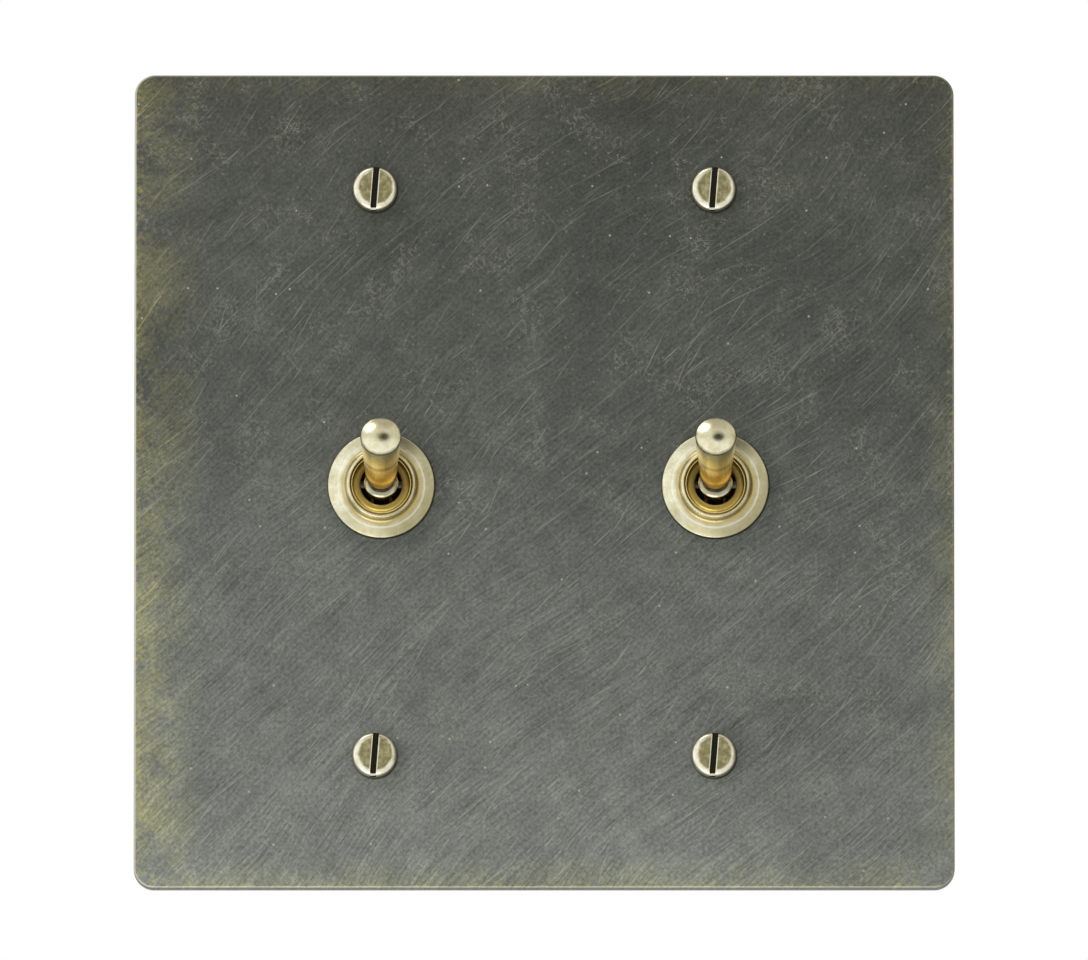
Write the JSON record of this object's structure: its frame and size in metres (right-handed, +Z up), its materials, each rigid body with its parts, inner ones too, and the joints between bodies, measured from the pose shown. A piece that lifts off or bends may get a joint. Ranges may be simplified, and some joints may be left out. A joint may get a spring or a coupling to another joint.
{
  "type": "double dolly light switch",
  "caption": "Square aged brass face plate with two bushing-mounted dolly toggles, their switch cases behind it and slotted screws for the wall box.",
  "frame": {"origin": "centre of the four box screws on the back face of the plate", "axes": "+Z up, +Y into the wall along the screws, +X to the right as seen from the front"},
  "size_m": [0.12, 0.0421, 0.12],
  "materials": {
    "aged_brass": "dark patina with fine scratches and worn gold edges",
    "worn_brass": "aged, with a bright worn rim",
    "turned_brass": "satin turned",
    "oiled_steel": "oil blackened",
    "zinc_steel": "zinc plated",
    "fibre_sheet": "vulcanised fibre",
    "phenolic": "moulded",
    "acetal": "moulded",
    "contact_copper": "stamped copper alloy",
    "strip_brass": "stamped strip"
  },
  "bodies": {
    "root": {"face_plate": "aged_brass", "upper_left_screw": "worn_brass", "upper_right_screw": "worn_brass", "lower_left_screw": "worn_brass", "lower_right_screw": "worn_brass", "left_dress_ring": "turned_brass", "left_bushing": "turned_brass", "left_pivot_pin": "oiled_steel", "left_lock_washer": "zinc_steel", "left_back_nut": "zinc_steel", "left_switch_frame": "zinc_steel", "left_insulator": "fibre_sheet", "left_switch_case": "phenolic", "left_rocker_pin": "oiled_steel", "left_common_terminal": "strip_brass", "left_upper_terminal": "strip_brass", "left_lower_terminal": "strip_brass", "left_common_terminal_screw": "strip_brass", "left_upper_terminal_screw": "strip_brass", "left_lower_terminal_screw": "strip_brass", "right_dress_ring": "turned_brass", "right_bushing": "turned_brass", "right_pivot_pin": "oiled_steel", "right_lock_washer": "zinc_steel", "right_back_nut": "zinc_steel", "right_switch_frame": "zinc_steel", "right_insulator": "fibre_sheet", "right_switch_case": "phenolic", "right_rocker_pin": "oiled_steel", "right_common_terminal": "strip_brass", "right_upper_terminal": "strip_brass", "right_lower_terminal": "strip_brass", "right_common_terminal_screw": "strip_brass", "right_upper_terminal_screw": "strip_brass", "right_lower_terminal_screw": "strip_brass"},
    "left_lever": {"left_lever": "turned_brass", "left_plunger": "acetal", "left_plunger_spring": "oiled_steel"},
    "left_rocker": {"left_rocker": "contact_copper"},
    "right_lever": {"right_lever": "turned_brass", "right_plunger": "acetal", "right_plunger_spring": "oiled_steel"},
    "right_rocker": {"right_rocker": "contact_copper"}
  },
  "joints": [
    {"name": "left_toggle", "type": "hinge", "parent": "root", "child": "left_lever", "pos_m": [-0.02385, -0.0032, -0.00185], "axis": [1, 0, 0], "range_deg": [0, 36]},
    {"name": "left_rock", "type": "hinge", "parent": "root", "child": "left_rocker", "pos_m": [-0.02385, 0.0093, -0.00185], "axis": [1, 0, 0], "range_deg": [-12, 0]},
    {"name": "right_toggle", "type": "hinge", "parent": "root", "child": "right_lever", "pos_m": [0.02505, -0.0032, -0.00185], "axis": [1, 0, 0], "range_deg": [0, 36]},
    {"name": "right_rock", "type": "hinge", "parent": "root", "child": "right_rocker", "pos_m": [0.02505, 0.0093, -0.00185], "axis": [1, 0, 0], "range_deg": [-12, 0]}
  ],
  "couplings": [
    {"joint": "left_rock", "follows": "left_toggle", "ratio": -0.33333},
    {"joint": "right_rock", "follows": "right_toggle", "ratio": -0.33333}
  ]
}
